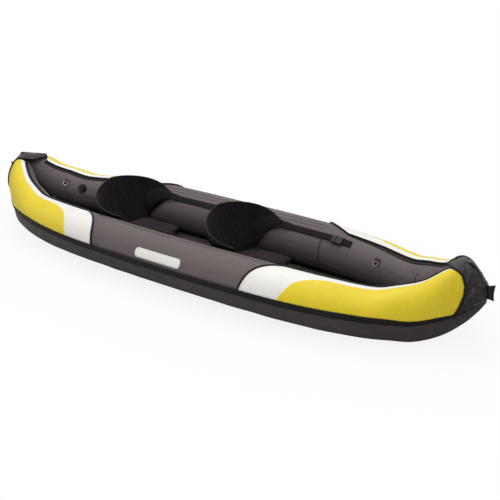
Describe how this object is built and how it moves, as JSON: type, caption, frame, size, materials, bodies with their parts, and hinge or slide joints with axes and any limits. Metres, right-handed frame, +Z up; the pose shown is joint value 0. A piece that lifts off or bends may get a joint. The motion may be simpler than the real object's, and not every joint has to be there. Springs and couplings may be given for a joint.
{
  "type": "inflatable kayak",
  "caption": "Tandem inflatable kayak: air tubes in sewn covers, tarpaulin hull, air floor, strapped seats with fan backrests.",
  "frame": {"origin": "on the ground under the middle of the hull", "axes": "+X toward the bow, +Y to port, +Z up"},
  "size_m": [3.184, 0.8986, 0.422],
  "materials": {
    "grey_cloth": "coated woven cloth, matt",
    "yellow_cloth": "coated woven cloth, satin",
    "white_cloth": "coated woven cloth, satin",
    "tarpaulin": "reinforced tarpaulin, satin",
    "black_vinyl": "vinyl-coated cloth, satin",
    "bladder_film": "flexible film, satin",
    "floor_film": "vinyl film, satin",
    "seat_cloth": "padded cloth, matt",
    "webbing": "woven webbing, matt",
    "black_plastic": "moulded, satin",
    "ring_steel": "bent wire, polished"
  },
  "bodies": {
    "hull_and_tubes": {"hull_bottom": "tarpaulin", "port_seam_binding": "black_vinyl", "starboard_seam_binding": "black_vinyl", "port_tube_cover": "grey_cloth", "starboard_tube_cover": "grey_cloth", "port_stern_cover": "grey_cloth", "starboard_stern_cover": "grey_cloth", "port_air_bladder": "bladder_film", "starboard_air_bladder": "bladder_film", "port_bow_white_panel": "white_cloth", "port_stern_white_panel": "white_cloth", "starboard_bow_white_panel": "white_cloth", "starboard_stern_white_panel": "white_cloth", "port_bow_yellow_panel": "yellow_cloth", "port_stern_yellow_panel": "yellow_cloth", "starboard_bow_yellow_panel": "yellow_cloth", "starboard_stern_yellow_panel": "yellow_cloth", "port_bow_piping": "black_vinyl", "port_stern_piping": "black_vinyl", "starboard_bow_piping": "black_vinyl", "starboard_stern_piping": "black_vinyl", "bow_nose_cover": "black_vinyl", "stern_nose_cover": "black_vinyl", "bow_stem_flap": "black_vinyl", "stern_stem_flap": "black_vinyl", "floor_air_bladder": "floor_film", "floor_valve_body": "black_plastic", "port_valve_body": "black_plastic", "starboard_valve_body": "black_plastic", "rear_seat_pad": "seat_cloth", "front_seat_pad": "seat_cloth", "rear_port_strap": "webbing", "rear_starboard_strap": "webbing", "front_port_strap": "webbing", "front_starboard_strap": "webbing", "rear_port_strap_anchor": "webbing", "rear_starboard_strap_anchor": "webbing", "front_port_strap_anchor": "webbing", "front_starboard_strap_anchor": "webbing", "rear_port_buckle_socket": "black_plastic", "rear_starboard_buckle_socket": "black_plastic", "front_port_buckle_socket": "black_plastic", "front_starboard_buckle_socket": "black_plastic", "bow_ring_patch": "black_vinyl", "stern_ring_patch": "black_vinyl"},
    "rear_back": {"rear_backrest": "seat_cloth"},
    "front_back": {"front_backrest": "seat_cloth"},
    "rear_port_plug": {"rear_port_buckle_plug": "black_plastic"},
    "rear_starboard_plug": {"rear_starboard_buckle_plug": "black_plastic"},
    "front_port_plug": {"front_port_buckle_plug": "black_plastic"},
    "front_starboard_plug": {"front_starboard_buckle_plug": "black_plastic"},
    "port_collar": {"port_valve_collar": "black_plastic"},
    "port_cap": {"port_valve_cap": "black_plastic"},
    "starboard_collar": {"starboard_valve_collar": "black_plastic"},
    "starboard_cap": {"starboard_valve_cap": "black_plastic"},
    "floor_cap": {"floor_valve_cap": "black_plastic"},
    "bow_ring": {"bow_d_ring": "ring_steel"},
    "stern_ring": {"stern_d_ring": "ring_steel"},
    "rear_ring": {"rear_pad_ring": "ring_steel"},
    "front_ring": {"front_pad_ring": "ring_steel"}
  },
  "joints": [
    {"name": "rear_back_recline", "type": "hinge", "parent": "hull_and_tubes", "child": "rear_back", "pos_m": [-0.635, 0, 0.12], "axis": [0, -1, 0], "range_deg": [0, 30], "deforming": ["rear_port_strap", "rear_starboard_strap"]},
    {"name": "front_back_recline", "type": "hinge", "parent": "hull_and_tubes", "child": "front_back", "pos_m": [0.139, 0, 0.12], "axis": [0, -1, 0], "range_deg": [0, 30], "deforming": ["front_port_strap", "front_starboard_strap"]},
    {"name": "rear_port_plug_slide", "type": "slide", "parent": "hull_and_tubes", "child": "rear_port_plug", "axis": [-1, -0.0085, 0.0022], "range_m": [0, 0.034], "deforming": ["rear_port_strap"]},
    {"name": "rear_starboard_plug_slide", "type": "slide", "parent": "hull_and_tubes", "child": "rear_starboard_plug", "axis": [-1, 0.0085, 0.0022], "range_m": [0, 0.034], "deforming": ["rear_starboard_strap"]},
    {"name": "front_port_plug_slide", "type": "slide", "parent": "hull_and_tubes", "child": "front_port_plug", "axis": [-0.998, 0.0621, 0.0132], "range_m": [0, 0.034], "deforming": ["front_port_strap"]},
    {"name": "front_starboard_plug_slide", "type": "slide", "parent": "hull_and_tubes", "child": "front_starboard_plug", "axis": [-0.998, -0.0621, 0.0132], "range_m": [0, 0.034], "deforming": ["front_starboard_strap"]},
    {"name": "port_collar_lift", "type": "slide", "parent": "hull_and_tubes", "child": "port_collar", "axis": [0.2616, -0.8194, 0.5101], "range_m": [0, 0.009]},
    {"name": "port_cap_turn", "type": "hinge", "parent": "port_collar", "child": "port_cap", "pos_m": [-1.09, 0.12514, 0.2023], "axis": [0.2616, -0.8194, 0.5101], "range_deg": [0, 720]},
    {"name": "starboard_collar_lift", "type": "slide", "parent": "hull_and_tubes", "child": "starboard_collar", "axis": [0.2616, 0.8194, 0.5101], "range_m": [0, 0.009]},
    {"name": "starboard_cap_turn", "type": "hinge", "parent": "starboard_collar", "child": "starboard_cap", "pos_m": [-1.09, -0.12514, 0.2023], "axis": [0.2616, 0.8194, 0.5101], "range_deg": [0, 720]},
    {"name": "floor_cap_turn", "type": "hinge", "parent": "hull_and_tubes", "child": "floor_cap", "pos_m": [-0.13, 0, 0.068], "axis": [0, 0, 1], "range_deg": [0, 90]},
    {"name": "bow_ring_swing", "type": "hinge", "parent": "hull_and_tubes", "child": "bow_ring", "pos_m": [0.92918, 0.15026, 0.21019], "axis": [-0.9861, 0.165, 0.0193], "range_deg": [0, 170]},
    {"name": "stern_ring_swing", "type": "hinge", "parent": "hull_and_tubes", "child": "stern_ring", "pos_m": [-1.1939, 0.08525, 0.23454], "axis": [-0.8772, -0.3115, 0.3653], "range_deg": [0, 170]},
    {"name": "rear_ring_swing", "type": "hinge", "parent": "hull_and_tubes", "child": "rear_ring", "pos_m": [-0.32527, 0.06, 0.0885], "axis": [0, -1, 0], "range_deg": [0, 90]},
    {"name": "front_ring_swing", "type": "hinge", "parent": "hull_and_tubes", "child": "front_ring", "pos_m": [0.44873, 0.06, 0.0885], "axis": [0, -1, 0], "range_deg": [0, 90]}
  ],
  "couplings": [
    {"joint": "port_collar_lift", "follows": "port_cap_turn", "m_per_rad": 0.000716},
    {"joint": "starboard_collar_lift", "follows": "starboard_cap_turn", "m_per_rad": 0.000716}
  ]
}
